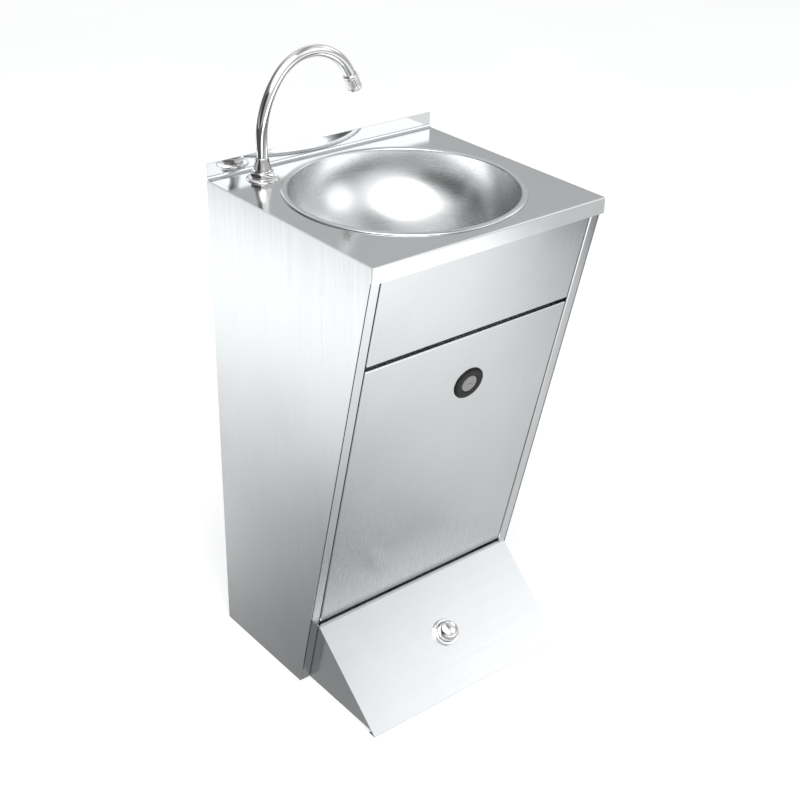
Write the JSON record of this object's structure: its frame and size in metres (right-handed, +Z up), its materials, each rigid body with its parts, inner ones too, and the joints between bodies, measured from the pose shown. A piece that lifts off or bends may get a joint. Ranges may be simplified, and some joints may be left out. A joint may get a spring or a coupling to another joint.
{
  "type": "portable handwash sink",
  "caption": "Floor-standing stainless hand-wash cabinet with round basin, swan-neck spout, leaning front with drop-down access door and latch, and a sloped kick plinth with a foot pump button",
  "frame": {"origin": "on the floor, under the middle of the worktop", "axes": "+X to the right of someone who stands in front, +Y towards the wall behind, +Z up"},
  "size_m": [0.45, 0.42, 1.0438],
  "materials": {
    "panel_steel": "fine brushed stainless sheet",
    "basin_steel": "satin pressed stainless",
    "chrome": "polished",
    "zinc_steel": "zinc plated",
    "satin_nickel": "satin",
    "black_plastic": "satin moulded",
    "black_rubber": "matte",
    "grey_plastic": "moulded",
    "blue_plastic": "moulded",
    "pump_plastic": "moulded",
    "tank_plastic": "blow-moulded, translucent white"
  },
  "bodies": {
    "cabinet": {"worktop": "panel_steel", "basin": "basin_steel", "drain_strainer": "chrome", "drain_gasket": "black_rubber", "drain_nut": "grey_plastic", "drain_tailpiece": "grey_plastic", "left_side_panel": "panel_steel", "right_side_panel": "panel_steel", "left_stile": "panel_steel", "right_stile": "panel_steel", "back_panel": "panel_steel", "base_tray": "panel_steel", "upper_front_panel": "panel_steel", "cross_rail": "zinc_steel", "latch_keeper": "zinc_steel", "back_screw_lower_left": "zinc_steel", "back_screw_upper_left": "zinc_steel", "back_screw_lower_right": "zinc_steel", "back_screw_upper_right": "zinc_steel", "hinge_pin_left": "zinc_steel", "hinge_pin_right": "zinc_steel", "hinge_washer_left": "black_plastic", "hinge_washer_right": "black_plastic", "kick_plinth": "panel_steel", "button_collar": "chrome", "pump_body": "pump_plastic", "pump_spring": "zinc_steel", "suction_nut": "black_plastic", "delivery_nut": "black_plastic", "spout_flange": "chrome", "spout_hex_base": "chrome", "spout_cone": "chrome", "spout_shank": "zinc_steel", "spout_locknut": "zinc_steel", "fresh_tank": "tank_plastic", "fresh_tank_cap": "blue_plastic", "waste_tank": "tank_plastic", "waste_tank_cap": "grey_plastic", "suction_pipe": "grey_plastic", "delivery_pipe": "blue_plastic", "waste_pipe": "grey_plastic"},
    "door": {"door_panel": "panel_steel", "door_stiffener": "zinc_steel", "latch_rosette": "black_plastic", "latch_barrel": "black_plastic", "latch_nut": "black_plastic"},
    "latch": {"latch_core": "satin_nickel", "latch_cam": "zinc_steel", "latch_cam_screw": "zinc_steel"},
    "foot_button": {"foot_button": "chrome", "pump_plunger": "grey_plastic", "pump_seal": "black_rubber"},
    "spout": {"spout_tube": "chrome", "aerator": "chrome", "aerator_insert": "grey_plastic"}
  },
  "joints": [
    {"name": "door_hinge", "type": "hinge", "parent": "cabinet", "child": "door", "pos_m": [0, -0.04193, 0.14588], "axis": [1, 0, 0], "range_deg": [0, 85]},
    {"name": "latch_turn", "type": "hinge", "parent": "door", "child": "latch", "pos_m": [0.02, -0.14435, 0.56557], "axis": [0, -0.9752, -0.2213], "range_deg": [0, 90]},
    {"name": "foot_button_press", "type": "slide", "parent": "cabinet", "child": "foot_button", "axis": [0, 0.655, -0.7556], "range_m": [0, 0.012], "stiffness_N_per_m": 600, "springref_m": -0.02},
    {"name": "spout_swivel", "type": "hinge", "parent": "cabinet", "child": "spout", "pos_m": [-0.151, 0.165, 0.85], "axis": [0, 0, 1], "range_deg": [-75, 10]}
  ]
}
